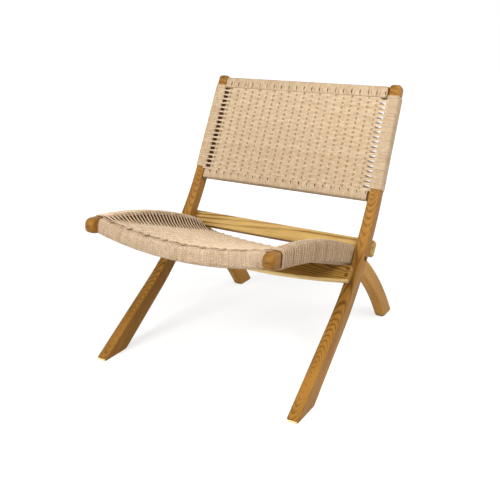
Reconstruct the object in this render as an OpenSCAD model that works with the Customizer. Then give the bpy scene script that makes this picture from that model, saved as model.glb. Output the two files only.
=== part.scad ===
// Folding lounge chair: two crossed wooden frames with a seat and a back woven from paper cord.
// It faces -Y. The origin lies on the floor, under the middle of its box.

/* [Back frame] */
// Width over the bare outer faces of the two stiles
chair_w = 630; // [540:5:720]
// Width of a stile, seen from the front
stile_w = 32; // [28:1:40]
// Depth of a stile where it carries the back
stile_top_d = 34; // [30:1:40]
// Depth of a stile at the pivot
stile_mid_d = 37; // [34:1:44]
// Depth of a stile at the foot
stile_foot_d = 56; // [46:1:66]
// Lean of the back from upright, in degrees
back_tilt = 26.8; // [24:0.2:30]
// Lean of the stile at the pivot, in degrees
pivot_tilt = 40.2; // [37:0.2:43]
// Lean of the front leg at the floor, in degrees
leg_tilt = 55; // [52:0.5:58]
// Radius of the bend above the pivot
upper_bend_r = 860; // [740:10:980]
// Radius of the bend below the pivot
lower_bend_r = 840; // [700:10:1000]
// Straight length of a stile above its bend
back_len = 321; // [315:1:400]
// Bare wood at the top of a stile
cap_len = 38; // [32:1:50]
// Radius of the corners at the top of a stile
cap_r = 12; // [4:1:14]
// Height of the blunt front edge of the front foot
toe_h = 4; // [3:1:12]
// Height of the pivot axis above the floor
pivot_h = 286; // [270:1:302]

/* [Back rails and panel] */
// Height of the top back rail
top_rail_h = 26; // [22:1:30]
// Height of the lower back rail
lower_rail_h = 30; // [26:1:34]
// Thickness of both back rails
back_rail_t = 22; // [16:1:26]
// Bare wood of a stile above the cord of the top back rail
rail_top_gap = 14; // [8:1:24]
// Height over the cord of the woven back
back_panel_h = 348; // [320:2:352]
// Cord slots along each side of the back
back_slots = 19; // [12:1:24]
// Length of these slots
slot_len = 28; // [16:1:36]
// Height of these slots
slot_h = 4.5; // [2:0.5:7]

/* [Seat frame] */
// Width of a seat rail, seen from the front
rail_w = 30; // [26:1:36]
// Height of a seat rail at the pivot
rail_h = 51; // [47:1:54]
// Height of a seat rail at its front end
knob_h = 39; // [36:1:44]
// Depth of the rear leg at the foot
rear_foot_d = 47; // [42:1:52]
// Slope of the seat rail at the pivot, in degrees
rail_slope = 30.3; // [28:0.1:32]
// Radius of the short bend in front of the pivot
short_bend_r = 330; // [280:10:420]
// Turn of that bend, in degrees
short_bend_turn = 8; // [6:0.5:10]
// Radius of the long hump of the seat rail
hump_r = 1500; // [1300:10:1900]
// Length of the hump up to the front end
hump_len = 437; // [405:2:453]
// Radius of the curve of the rear leg
rear_bend_r = 1010; // [850:10:1150]
// Bare length of the front end
knob_len = 38; // [34:1:46]
// Radius of the front end's corners
knob_r = 13; // [6:1:16]

/* [Seat rails and panel] */
// Height of the front seat rail
front_rail_h = 37; // [31:1:38]
// Thickness of the front seat rail
front_rail_t = 22; // [18:1:26]
// Distance from the front end back to the middle of the front seat rail
front_rail_in = 35; // [32:1:44]
// Dish of the front seat rail at its middle
front_dish = 28; // [16:1:34]
// Height of the rear seat rail
rear_rail_h = 23; // [20:1:24]
// Thickness of the rear seat rail
rear_rail_t = 20; // [16:1:24]
// Distance from the pivot back to the middle of the rear seat rail
rear_rail_out = 62; // [58:1:68]
// Drop of the rear seat rail's top below the side rails' top
rear_rail_drop = 14; // [12:1:17]
// Dish of the rear seat rail at its middle
rear_dish = 18; // [12:1:19]
// Width of the strips where the seat climbs to the side rails
climb_w = 28; // [20:1:36]

/* [Cord] */
// Thickness of the cord
cord_d = 2.9; // [2.4:0.1:3]

/* [Stop rail and board] */
// Height of the stop rail
stop_h = 46; // [40:1:52]
// Thickness of the stop rail
stop_t = 20; // [16:1:24]
// How far the stop rail stands out past each stile
stop_over = 7; // [2:1:12]
// Height of the stop rail's lower edge above the pivot, along the stile
stop_rise = 18; // [16:1:20]
// Radius of the stop rail's end corners
stop_r = 7; // [3:1:12]
// Height of the under-seat board
board_h = 47; // [42:1:56]
// Thickness of the under-seat board
board_t = 22; // [18:1:24]
// Depth that the board is let into the stiles
board_let = 1.2; // [0.8:0.2:3]
// Distance of the board's ends from the outer faces of the stiles
board_inset = 14; // [10:1:16]
// Dish of the board
board_dish = 23; // [8:1:28]
// Radius of the board's end corners
board_r = 8; // [3:1:12]

/* [Hardware] */
// Diameter of the pivot bolt
bolt_d = 8; // [6:0.5:9]
// Diameter of the bolt's head
head_d = 13; // [11:0.5:14]
// Height of the bolt's head
head_h = 6; // [4:0.5:8]
// Width across the corners of the bolt's key socket
key_d = 6.9; // [5:0.1:7.5]
// Depth of the counterbore in the stile
sink_depth = 11; // [9:0.5:14]
// Diameter of the counterbore
sink_d = 15; // [14.5:0.5:18]
// Gap that the spacer washer keeps between stile and seat rail
side_gap = 3.4; // [3.4:0.1:5]
// Diameter of the spacer washer
washer_d = 24; // [18:1:28]
// Diameter of the threaded insert
insert_d = 12; // [11:0.5:14]
// Length of the threaded insert
insert_len = 18; // [14:1:22]
// Diameter of a dowel
dowel_d = 7; // [5:0.5:8]
// Depth of a dowel in each piece
dowel_in = 18; // [12:1:22]
// Diameter of a wood screw
screw_d = 4.5; // [3.5:0.5:5]
// Diameter of a screw's head
screw_head_d = 8.5; // [7:0.5:9]
// Depth of a screw in the piece that it holds to
screw_in = 20; // [14:1:24]

/* [Fit] */
// Clearance of a fixed piece in its seat
fit = 0.1; // [0.05:0.05:0.15]
// Clearance all round the pivot bolt in the stile
pivot_fit = 0.1; // [0.04:0.02:0.1]
// Play of the washer and of the bolt's head along the pivot
side_play = 0.2; // [0.1:0.1:0.3]
// Clearance between cord pieces, and between the two frames
soft_gap = 0.4; // [0.3:0.1:0.6]

/* [Hidden] */
wood = "#b9813f";
pale_wood = "#c99a57";
cord = "#e0c8a0";
steel = "#8d8f91";
brass = "#b08d4a";
outline_step = 15;
dish_step = 21;
corner_steps = 6;
big = 2000;
$fn = 48;

// Half widths across the chair
outer_x = chair_w / 2;
inner_x = outer_x - stile_w;
rail_x = inner_x - side_gap;
cross_x = rail_x - rail_w;

function unit(v) = v / norm(v);
function cross2(u, v) = u[0] * v[1] - u[1] * v[0];
function lerp(a, b, t) = a + (b - a) * t;
function arc_deg(len, r) = len / r * 180 / PI;
function arc_len(deg, r) = deg * r * PI / 180;

// Places from one length to another, with the same inner places for every outline
function places(a, b) = concat(
    [a],
    [for (k = [ceil((a + 0.5) / outline_step):floor((b - 0.5) / outline_step)]) k * outline_step],
    [b]);

// Points that round the corner b between a and c
function corner(a, b, c, r) =
    let (
        u = unit(a - b), v = unit(c - b), half = acos(u * v) / 2,
        mid = b + unit(u + v) * r / sin(half),
        p = b + u * r / tan(half) - mid, q = b + v * r / tan(half) - mid,
        a0 = atan2(p[1], p[0]), swing = (atan2(q[1], q[0]) - a0 + 540) % 360 - 180
    )
    [for (i = [0:corner_steps])
        mid + r * [cos(a0 + swing * i / corner_steps), sin(a0 + swing * i / corner_steps)]];

// Where the line from p to q reaches the height z
function at_height(p, q, z) = p + (q - p) * (z - p[1]) / (q[1] - p[1]);

// The side views are drawn in Y and Z from the pivot.
// Stile: direction and front normal for a lean, then [point, lean, half depth] at a length s upwards
function up_dir(t) = [sin(t), cos(t)];
function front_dir(t) = [-cos(t), sin(t)];
function stile_bend(t, r) = r * [cos(t) - cos(pivot_tilt), sin(pivot_tilt) - sin(t)];
bend_up = arc_len(pivot_tilt - back_tilt, upper_bend_r);
bend_down = arc_len(leg_tilt - pivot_tilt, lower_bend_r);
back_base = stile_bend(back_tilt, upper_bend_r);
knee = stile_bend(leg_tilt, lower_bend_r);
stile_down = bend_down + (pivot_h + knee[1]) / cos(leg_tilt);
function stile_at(s) =
    s >= bend_up ? [back_base + (s - bend_up) * up_dir(back_tilt), back_tilt, stile_top_d / 2] :
    s >= 0 ? let (t = pivot_tilt - arc_deg(s, upper_bend_r))
        [stile_bend(t, upper_bend_r), t, lerp(stile_mid_d, stile_top_d, s / bend_up) / 2] :
    let (half = lerp(stile_mid_d, stile_foot_d, -s / stile_down) / 2)
    s >= -bend_down ? let (t = pivot_tilt - arc_deg(s, lower_bend_r))
        [stile_bend(t, lower_bend_r), t, half] :
    [knee + (s + bend_down) * up_dir(leg_tilt), leg_tilt, half];
function stile_front(s, grow = 0) = let (m = stile_at(s)) m[0] + (m[2] + grow) * front_dir(m[1]);
function stile_rear(s, grow = 0) = let (m = stile_at(s)) m[0] - (m[2] + grow) * front_dir(m[1]);

function stile_outline() =
    let (
        top = bend_up + back_len, low = -bend_down, floor_z = -pivot_h,
        toe = at_height(stile_front(low), stile_front(-stile_down), floor_z + toe_h),
        sole = [toe[0], floor_z],
        heel = at_height(stile_rear(low), stile_rear(-stile_down), floor_z),
        inner = [for (s = places(low, bend_up)) if (s > low) s]
    )
    concat(
        corner(stile_front(low), toe, sole, toe_h / 3),
        [sole],
        corner(sole, heel, stile_rear(low), toe_h),
        [stile_rear(low)],
        [for (s = inner) stile_rear(s)],
        corner(stile_rear(bend_up), stile_rear(top), stile_front(top), cap_r),
        corner(stile_rear(top), stile_front(top), stile_front(bend_up), cap_r),
        [for (i = [len(inner) - 1:-1:0]) stile_front(inner[i])],
        [stile_front(low)]
    );

// Seat rail: forward direction and upper normal for a slope, then [point, slope, half height]
// at a length q forwards
function fore_dir(b) = [-cos(b), sin(b)];
function top_dir(b) = [sin(b), cos(b)];
function bow(b0, b, r) = r * [sin(b) - sin(b0), cos(b) - cos(b0)];
short_len = arc_len(short_bend_turn, short_bend_r);
hump_b = rail_slope - short_bend_turn;
hump_base = bow(rail_slope, hump_b, short_bend_r);
fore_len = short_len + hump_len;
rear_len = arc_len(acos(cos(rail_slope) - pivot_h / rear_bend_r) - rail_slope, rear_bend_r);
function rail_at(q) =
    q < 0 ? let (b = rail_slope - arc_deg(q, rear_bend_r))
        [bow(rail_slope, b, rear_bend_r), b, lerp(rail_h, rear_foot_d, -q / rear_len) / 2] :
    let (half = lerp(rail_h, knob_h, pow(q / fore_len, 3)) / 2)
    q < short_len ? let (b = rail_slope - arc_deg(q, short_bend_r))
        [bow(rail_slope, b, short_bend_r), b, half] :
    let (b = hump_b - arc_deg(q - short_len, hump_r)) [hump_base + bow(hump_b, b, hump_r), b, half];
function rail_top(q, grow = 0) = let (m = rail_at(q)) m[0] + (m[2] + grow) * top_dir(m[1]);
function rail_under(q, grow = 0) = let (m = rail_at(q)) m[0] - (m[2] + grow) * top_dir(m[1]);

function rail_band(a, b, grow) =
    let (all = places(a, b))
    concat([for (q = all) rail_top(q, grow)], [for (i = [len(all) - 1:-1:0]) rail_under(all[i], grow)]);

function rail_outline() =
    let (
        low = -(rear_len - rear_foot_d), floor_z = -pivot_h,
        down = -fore_dir(rail_at(low - rear_foot_d / 2)[1]),
        back_foot = at_height(rail_top(low), rail_top(low) + down, floor_z),
        front_foot = at_height(rail_under(low), rail_under(low) + down, floor_z),
        inner = [for (q = places(low, fore_len)) if (q > low && q < fore_len - 1.5 * knob_r) q]
    )
    concat(
        corner(rail_under(low), front_foot, back_foot, 10),
        corner(front_foot, back_foot, rail_top(low), 3),
        [rail_top(low)],
        [for (q = inner) rail_top(q)],
        corner(rail_top(fore_len - 2 * knob_r), rail_top(fore_len), rail_under(fore_len), knob_r),
        corner(rail_top(fore_len), rail_under(fore_len), rail_under(fore_len - 2 * knob_r), knob_r),
        [for (i = [len(inner) - 1:-1:0]) rail_under(inner[i])],
        [rail_under(low)]
    );

// The pivot's place on Y puts the chair's box in the middle
all_y = [for (p = concat(stile_outline(), rail_outline())) p[0]];
pivot_y = -(min(all_y) + max(all_y)) / 2;

// Drop of a dished piece at x below its ends at half width c
function dip(x, c, sag) = let (r = (c * c + sag * sag) / (2 * sag)) sqrt(r * r - x * x) - (r - sag);
function dish_band(c, top, low, sag) =
    let (n = ceil(c / dish_step), xs = [for (i = [-n:n]) c * i / n])
    concat([for (x = xs) [x, top - dip(x, c, sag)]],
        [for (i = [len(xs) - 1:-1:0]) [xs[i], low - dip(xs[i], c, sag)]]);

// Frames on which the cross pieces lie
top_u = bend_up + back_len - rail_top_gap - cord_d - top_rail_h / 2;
lower_u = bend_up + back_len - rail_top_gap - back_panel_h + cord_d + lower_rail_h / 2;
wrap_low_u = lower_u + lower_rail_h / 2 + cord_d + 2 * cord_d;
wrap_top_u = bend_up + back_len - cap_len;
front_q = fore_len - front_rail_in;
rear_q = -rear_rail_out;
rear_lift = rail_at(rear_q)[2] - rear_rail_drop - rear_rail_h / 2;
stop_s = stop_rise + stop_h / 2;

// An outline in Y and Z becomes a board between two places on X
module board_between(x0, x1) {
    translate([x0, pivot_y, pivot_h]) rotate([90, 0, 90]) linear_extrude(x1 - x0) children();
}

// Puts local Z along a lean and local Y behind it, at a point of the side view
module leaning(p, lean) {
    translate([0, pivot_y + p[0], pivot_h + p[1]]) rotate([-lean, 0, 0]) children();
}

// An outline in X and Z becomes a board of a thickness, in the middle of local Y
module across(t) {
    translate([0, t / 2, 0]) rotate([90, 0, 0]) linear_extrude(t) children();
}

module block(w, t, h) {
    translate([-w / 2, -t / 2, -h / 2]) cube([w, t, h]);
}

module both_sides() {
    children();
    mirror([1, 0, 0]) children();
}

// Bar across the chair with rounded ends
module round_ended(w, h, r) {
    a = [w / 2, h / 2];
    b = [w / 2, -h / 2];
    polygon(concat(
        corner([-a[0], a[1]], a, b, r), corner(a, b, [-b[0], b[1]], r),
        corner(b, [-b[0], b[1]], [-a[0], a[1]], r), corner([-b[0], b[1]], [-a[0], a[1]], a, r)));
}

// Two round pins on each side across the joint between two pieces at x
module pins_across(x, spread, r, len) {
    both_sides() for (side = [-1, 1])
        translate([x - len, 0, side * spread / 2]) rotate([0, 90, 0]) cylinder(r = r, h = 2 * len);
}

// Round bar along X between two places at the pivot
module at_pivot(x0, x1, r) {
    translate([x0, pivot_y, pivot_h]) rotate([0, 90, 0]) cylinder(r = r, h = x1 - x0);
}

// Frames of the five cross pieces and of the board
module at_back_rail(u) {
    leaning(stile_at(u)[0], back_tilt)
        translate([0, (back_rail_t - stile_top_d) / 2, 0]) children();
}

module at_seat_rail(q, lift) {
    m = rail_at(q);
    leaning(m[0] + lift * top_dir(m[1]), m[1]) children();
}

module at_stop() {
    m = stile_at(stop_s);
    leaning(m[0], m[1]) translate([0, m[2] + soft_gap + stop_t / 2, 0]) children();
}

// The board's middle, as high as it goes with a soft gap to the wound seat rails
board_end = outer_x - board_inset;
function board_room(s) =
    let (
        m = stile_at(s),
        up = board_h / 2 - dip(rail_x + cord_d, board_end, board_dish),
        edge = m[0] + up * up_dir(m[1]) + (m[2] + board_t - board_let) * front_dir(m[1])
    )
    min([for (q = [0:3:150]) norm(edge - rail_at(q)[0]) - rail_at(q)[2] - cord_d]);
board_s = max([for (s = [-120:0.5:-20]) if (board_room(s) >= soft_gap) s]);

module at_board() {
    m = stile_at(board_s);
    leaning(m[0], m[1]) translate([0, board_let - m[2] - board_t / 2, 0]) children();
}

// Wood screw with its head at the origin and its point down, and the hole that it sits in
module screw(len, grow = 0) {
    translate([0, 0, -len]) cylinder(r = screw_d / 2 + grow, h = len);
    translate([0, 0, -screw_head_d / 4]) cylinder(r = screw_head_d / 2 + grow, h = screw_head_d / 4);
}

// Places of the screws through the board, and through the seat rails into the stop rail
board_screw_len = board_t + screw_in;
board_screw_x = (inner_x + board_end) / 2;
board_screw_z = board_h / 4;
module at_board_screws() {
    at_board() both_sides() for (z = [-board_screw_z + 4, board_screw_z])
        translate([board_screw_x, 0.5 - board_t / 2, z - dip(board_screw_x, board_end, board_dish)])
            rotate([90, 0, 0]) children();
}

stop_mid = let (m = stile_at(stop_s)) m[0] - (m[2] + soft_gap + stop_t / 2) * front_dir(m[1]);
stop_lean = stile_at(stop_s)[1];
under_z = let (m = rail_at(stop_mid * fore_dir(rail_slope)))
    (-m[2] - (stop_mid - m[0]) * top_dir(m[1])) / (up_dir(stop_lean) * top_dir(m[1]));
stop_screw_z = under_z + screw_head_d / 2;
module at_stop_screws() {
    at_stop() both_sides() translate([(cross_x + rail_x) / 2, 0, stop_screw_z])
        mirror([0, 0, 1]) children();
}

module stile() {
    m = stile_at(board_s);
    difference() {
        board_between(inner_x, outer_x) polygon(stile_outline());
        at_pivot(inner_x - 1, outer_x + 1, bolt_d / 2 + pivot_fit);
        at_pivot(outer_x - sink_depth, outer_x + 1, sink_d / 2);
        back_dowels(fit);
        at_board() block(2 * (board_end + fit), board_t + 2 * fit, board_h + 2 * board_dish);
        at_board_screws() screw(board_screw_len, fit);
    }
}

module left_stile() {
    color(wood) mirror([1, 0, 0]) stile();
}

module right_stile() {
    color(wood) stile();
}

module back_dowels(grow = 0) {
    at_back_rail(top_u) pins_across(inner_x, top_rail_h / 2, dowel_d / 2 + grow, dowel_in + 5 * grow);
    at_back_rail(lower_u) pins_across(inner_x, lower_rail_h / 2, dowel_d / 2 + grow, dowel_in + 5 * grow);
}

module back_rail(u, h) {
    color(wood) difference() {
        at_back_rail(u) block(2 * inner_x, back_rail_t, h);
        back_dowels(fit);
    }
}

module top_back_rail() {
    back_rail(top_u, top_rail_h);
}

module lower_back_rail() {
    back_rail(lower_u, lower_rail_h);
}

module back_rail_dowels() {
    color(pale_wood) back_dowels();
}

// Cord wound on a straight rail
module rail_sleeve(w, t, h) {
    difference() {
        block(w, t + 2 * cord_d, h + 2 * cord_d);
        block(w + 2, t + 2 * fit, h + 2 * fit);
    }
}

module stile_wrap() {
    len = wrap_top_u - wrap_low_u;
    leaning(stile_at((wrap_top_u + wrap_low_u) / 2)[0], back_tilt) difference() {
        translate([(inner_x + outer_x) / 2, 0, 0])
            block(stile_w + 2 * cord_d, stile_top_d + 2 * cord_d, len);
        translate([(inner_x + outer_x) / 2, 0, 0])
            block(stile_w + 2 * fit, stile_top_d + 2 * fit, len + 2);
        translate([0, (back_rail_t - stile_top_d) / 2, top_u - (wrap_top_u + wrap_low_u) / 2])
            block(2 * inner_x, back_rail_t + 2 * fit, top_rail_h + 2 * fit);
    }
}

module left_stile_wrap() {
    color(cord) mirror([1, 0, 0]) stile_wrap();
}

module right_stile_wrap() {
    color(cord) stile_wrap();
}

back_clear_x = inner_x - cord_d - soft_gap;
module top_rail_wrap() {
    color(cord) at_back_rail(top_u) rail_sleeve(2 * back_clear_x, back_rail_t, top_rail_h);
}

module lower_rail_wrap() {
    color(cord) at_back_rail(lower_u) rail_sleeve(2 * back_clear_x, back_rail_t, lower_rail_h);
}

// The woven back lies between the wound rails, flush with their front. Slots part the pairs of weft.
module back_panel() {
    low = lower_u + lower_rail_h / 2 + cord_d + soft_gap;
    high = top_u - top_rail_h / 2 - cord_d - soft_gap;
    pitch = (high - low) / back_slots;
    color(cord) leaning(stile_at(low)[0], back_tilt) difference() {
        translate([-back_clear_x, -stile_top_d / 2 - cord_d, 0])
            cube([2 * back_clear_x, 2 * cord_d, high - low]);
        for (x = [-back_clear_x - 1, back_clear_x - slot_len], i = [0:back_slots - 1])
            translate([x, -stile_top_d / 2 - 2 * cord_d, (i + 0.5) * pitch - slot_h / 2])
                cube([slot_len + 1, 4 * cord_d, slot_h]);
    }
}

module under_seat_board() {
    n = ceil(board_end / dish_step);
    xs = [for (i = [-n + 1:n - 1]) board_end * i / n];
    near = board_end * (n - 1) / n;
    top_end = [board_end, board_h / 2];
    low_end = [board_end, -board_h / 2];
    top_near = [near, board_h / 2 - dip(near, board_end, board_dish)];
    low_near = [near, -board_h / 2 - dip(near, board_end, board_dish)];
    side = concat(corner(top_near, top_end, low_end, board_r), corner(top_end, low_end, low_near, board_r));
    color(wood) difference() {
        at_board() across(board_t) polygon(concat(
            [for (x = xs) [x, board_h / 2 - dip(x, board_end, board_dish)]],
            side,
            [for (i = [len(xs) - 1:-1:0]) [xs[i], -board_h / 2 - dip(xs[i], board_end, board_dish)]],
            [for (i = [len(side) - 1:-1:0]) [-side[i][0], side[i][1]]]));
        at_board_screws() screw(board_screw_len, fit);
    }
}

module board_screws() {
    color(brass) at_board_screws() difference() {
        screw(board_screw_len);
        translate([0, 0, -1.4]) cylinder(d = screw_head_d / 2, h = 3, $fn = 6);
    }
}

module seat_dowels(grow = 0) {
    at_seat_rail(front_q, 0)
        pins_across(cross_x, front_rail_h / 2, dowel_d / 2 + grow, dowel_in + 5 * grow);
    at_seat_rail(rear_q, rear_lift)
        pins_across(cross_x, rear_rail_h / 2, dowel_d / 2 + grow, dowel_in + 5 * grow);
}

module seat_rail() {
    difference() {
        board_between(cross_x, rail_x) polygon(rail_outline());
        at_pivot(rail_x - insert_len - 1, rail_x + 1, insert_d / 2 + fit);
        at_stop() block(2 * outer_x, stop_t + 2 * fit, stop_h + 2 * fit);
        at_stop_screws() screw(stop_h, fit);
        at_stop_screws() translate([0, 0, -0.1]) cylinder(r = screw_head_d / 2 + fit, h = screw_head_d);
        seat_dowels(fit);
    }
}

module left_seat_rail() {
    color(wood) mirror([1, 0, 0]) seat_rail();
}

module right_seat_rail() {
    color(wood) seat_rail();
}

module cross_rail(t, h, sag) {
    across(t) polygon(dish_band(cross_x, h / 2, -h / 2, sag));
}

module front_seat_rail() {
    color(wood) difference() {
        at_seat_rail(front_q, 0) cross_rail(front_rail_t, front_rail_h, front_dish);
        seat_dowels(fit);
    }
}

module rear_seat_rail() {
    color(wood) difference() {
        at_seat_rail(rear_q, rear_lift) cross_rail(rear_rail_t, rear_rail_h, rear_dish);
        seat_dowels(fit);
    }
}

module seat_rail_dowels() {
    color(pale_wood) seat_dowels();
}

// The cord on the seat rails ends before the stop rail. It leaves room for the front rail's cord.
wrap_rear_q = -20;
module seat_wrap() {
    difference() {
        board_between(cross_x - cord_d, rail_x + cord_d)
            polygon(rail_band(wrap_rear_q, fore_len - knob_len, cord_d));
        board_between(cross_x - fit, rail_x + fit)
            polygon(rail_band(wrap_rear_q - outline_step, fore_len - knob_len + outline_step, fit));
        at_pivot(rail_x, inner_x, washer_d / 2 + soft_gap);
        at_seat_rail(front_q, 0) block(2 * cross_x, front_rail_t + 2 * (cord_d + soft_gap),
            front_rail_h + 2 * (cord_d + 3 * soft_gap));
    }
}

module left_seat_wrap() {
    color(cord) mirror([1, 0, 0]) seat_wrap();
}

module right_seat_wrap() {
    color(cord) seat_wrap();
}

// Cord wound on a dished cross rail
module cross_sleeve(t, h, sag) {
    intersection() {
        difference() {
            across(t + 2 * cord_d) polygon(dish_band(cross_x, h / 2 + cord_d, -h / 2 - cord_d, sag));
            across(t + 2 * fit) polygon(dish_band(cross_x, h / 2 + fit, -h / 2 - fit, sag));
        }
        block(2 * (cross_x - soft_gap), big, big);
    }
}

module front_rail_wrap() {
    color(cord) at_seat_rail(front_q, 0) cross_sleeve(front_rail_t, front_rail_h, front_dish);
}

module rear_rail_wrap() {
    color(cord) at_seat_rail(rear_q, rear_lift) cross_sleeve(rear_rail_t, rear_rail_h, rear_dish);
}

// The woven seat runs straight from the rear rail to the front rail at every x.
// Beside the side rails it climbs to their wound tops.
panel_rear_q = rear_q + rear_rail_t / 2 + cord_d + soft_gap;
panel_front_q = front_q - front_rail_t / 2 - cord_d - soft_gap;
panel_x = cross_x - cord_d - soft_gap;
function seat_end(q, lift, x, sag) =
    let (m = rail_at(q)) m[0] + (lift - dip(x, cross_x, sag)) * top_dir(m[1]);
function seat_lift(q, x) =
    let (
        m = rail_at(q), n = top_dir(m[1]),
        a = seat_end(panel_rear_q, rear_lift + rear_rail_h / 2 + cord_d, x, rear_dish),
        b = seat_end(panel_front_q, front_rail_h / 2 + cord_d, x, front_dish),
        level = -cross2(m[0] - a, b - a) / cross2(n, b - a),
        climb = max(0, (abs(x) - panel_x + climb_w) / climb_w),
        start = min(1, max(0, (q - wrap_rear_q - climb_w / 2) / climb_w))
    )
    level + climb * start * max(0, m[2] + cord_d - level);

module seat_panel() {
    nq = 16;
    inner_n = 8;
    xs_half = concat([for (i = [1:inner_n]) (panel_x - climb_w) * i / inner_n], [panel_x]);
    xs = concat([for (i = [len(xs_half) - 1:-1:0]) -xs_half[i]], [0], xs_half);
    nx = len(xs);
    qs = concat([panel_rear_q], [for (q = [wrap_rear_q + climb_w / 2, wrap_rear_q + 1.5 * climb_w]) q],
        [for (i = [1:nq]) lerp(wrap_rear_q + 1.5 * climb_w, panel_front_q, i / nq)]);
    nr = len(qs);
    points = [for (down = [0, 2 * cord_d], q = qs, x = xs)
        let (m = rail_at(q), p = m[0] + (seat_lift(q, x) - down) * top_dir(m[1])) [x, p[0], p[1]]];
    low = nr * nx;
    faces = concat(
        [for (i = [0:nr - 2], j = [0:nx - 2], k = [0, 1]) let (a = i * nx + j)
            k == 0 ? [a, a + 1, a + nx] : [a + 1, a + nx + 1, a + nx]],
        [for (i = [0:nr - 2], j = [0:nx - 2], k = [0, 1]) let (a = low + i * nx + j)
            k == 0 ? [a, a + nx, a + 1] : [a + 1, a + nx, a + nx + 1]],
        [for (i = [0:nr - 2], j = [0, nx - 1], k = [0, 1]) let (a = i * nx + j, b = a + nx)
            j == 0 ? (k == 0 ? [a, b, low + a] : [b, low + b, low + a])
                : (k == 0 ? [a, low + a, b] : [b, low + a, low + b])],
        [for (j = [0:nx - 2], i = [0, nr - 1], k = [0, 1]) let (a = i * nx + j, b = a + 1)
            i == 0 ? (k == 0 ? [a, low + a, b] : [b, low + a, low + b])
                : (k == 0 ? [a, b, low + a] : [b, low + b, low + a])]);
    color(cord) translate([0, pivot_y, pivot_h]) polyhedron(points, faces);
}

module stop_rail() {
    color(pale_wood) difference() {
        at_stop() across(stop_t) round_ended(2 * (outer_x + stop_over), stop_h, stop_r);
        at_stop_screws() screw(stop_screw_len, fit);
    }
}

stop_screw_len = -stop_h / 2 - stop_screw_z + screw_in;
module stop_rail_screws() {
    color(brass) at_stop_screws() difference() {
        screw(stop_screw_len);
        translate([0, 0, -1.4]) cylinder(d = screw_head_d / 2, h = 3, $fn = 6);
    }
}

head_x = outer_x - sink_depth + side_play;
module pivot_bolts() {
    color(steel) both_sides() difference() {
        union() {
            at_pivot(rail_x - insert_len, head_x + 1, bolt_d / 2);
            at_pivot(head_x, head_x + head_h, head_d / 2);
        }
        translate([head_x + head_h / 2, pivot_y, pivot_h]) rotate([0, 90, 0])
            cylinder(d = key_d, h = head_h, $fn = 6);
    }
}

module pivot_washers() {
    color(steel) both_sides() difference() {
        at_pivot(rail_x + side_play, inner_x - side_play, washer_d / 2);
        at_pivot(rail_x, inner_x, bolt_d / 2 + pivot_fit);
    }
}

module pivot_inserts() {
    color(brass) both_sides() difference() {
        at_pivot(rail_x - insert_len, rail_x, insert_d / 2);
        at_pivot(rail_x - insert_len - 1, rail_x + 1, bolt_d / 2 + fit);
    }
}

left_stile();
right_stile();
top_back_rail();
lower_back_rail();
back_rail_dowels();
left_stile_wrap();
right_stile_wrap();
top_rail_wrap();
lower_rail_wrap();
back_panel();
under_seat_board();
board_screws();
left_seat_rail();
right_seat_rail();
front_seat_rail();
rear_seat_rail();
seat_rail_dowels();
left_seat_wrap();
right_seat_wrap();
front_rail_wrap();
rear_rail_wrap();
seat_panel();
stop_rail();
stop_rail_screws();
pivot_bolts();
pivot_washers();
pivot_inserts();
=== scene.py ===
import math
import random

import bmesh
import bpy
import numpy as np
from mathutils import Matrix, Vector


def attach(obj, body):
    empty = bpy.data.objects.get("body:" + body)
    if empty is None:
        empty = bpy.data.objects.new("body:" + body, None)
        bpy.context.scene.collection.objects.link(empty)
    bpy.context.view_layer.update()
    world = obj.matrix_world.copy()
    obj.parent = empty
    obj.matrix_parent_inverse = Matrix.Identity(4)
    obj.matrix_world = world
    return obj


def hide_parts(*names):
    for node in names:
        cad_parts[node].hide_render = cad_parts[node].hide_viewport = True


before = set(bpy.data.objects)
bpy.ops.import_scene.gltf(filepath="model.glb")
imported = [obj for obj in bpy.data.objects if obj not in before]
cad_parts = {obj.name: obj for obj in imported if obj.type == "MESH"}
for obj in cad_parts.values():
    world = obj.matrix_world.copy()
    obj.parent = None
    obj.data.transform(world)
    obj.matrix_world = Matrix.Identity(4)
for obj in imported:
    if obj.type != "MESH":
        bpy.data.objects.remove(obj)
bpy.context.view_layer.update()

# ---------------------------------------------------------------------------------------------------
# Camera: a little above the seat, to the right of the chair's front. The lens is a short telephoto,
# and the frame is shifted down, so that the legs stay in it while the uprights stay nearly parallel.
def place_in_scene(name, data):
    made = bpy.data.objects.new(name, data)
    bpy.context.scene.collection.objects.link(made)
    return made


lens = bpy.data.cameras.new("studio_camera")
lens.sensor_width = 36
lens.lens = 51.08
lens.shift_y = -0.2
camera = place_in_scene("studio_camera", lens)
camera.location = (0.99152, -1.69873, 0.96146)
camera.rotation_euler = (math.radians(90 - 11.24), 0, math.radians(30.72))
bpy.context.scene.camera = camera
bpy.context.scene.view_settings.view_transform = "Standard"


# ---------------------------------------------------------------------------------------------------
# Studio: a white floor that keeps the chair's soft shadow, a white surround, a large soft lamp in front
# on the left, a nearer one on the right, a weak one above, and one behind.
def node(tree, kind, values=None, links=None, **settings):
    # Add a node. Its sockets are named, or counted from 0: a Map Range turns 1 to 2 into 3 to 4, and a
    # colour Mix goes from 6 to 7.
    made = tree.nodes.new(kind)
    for key, value in settings.items():
        setattr(made, key, value)
    for socket, value in (values or {}).items():
        made.inputs[socket].default_value = value
    for socket, source in (links or {}).items():
        tree.links.new(source, made.inputs[socket])
    return made


def linear(code):
    parts = [int(code[i:i + 2], 16) / 255 for i in (1, 3, 5)]
    return [c / 12.92 if c <= 0.04045 else ((c + 0.055) / 1.055) ** 2.4 for c in parts] + [1]


def bare_material(name):
    made = bpy.data.materials.new(name)
    made.use_nodes = True
    made.node_tree.nodes.clear()
    return made, made.node_tree


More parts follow.
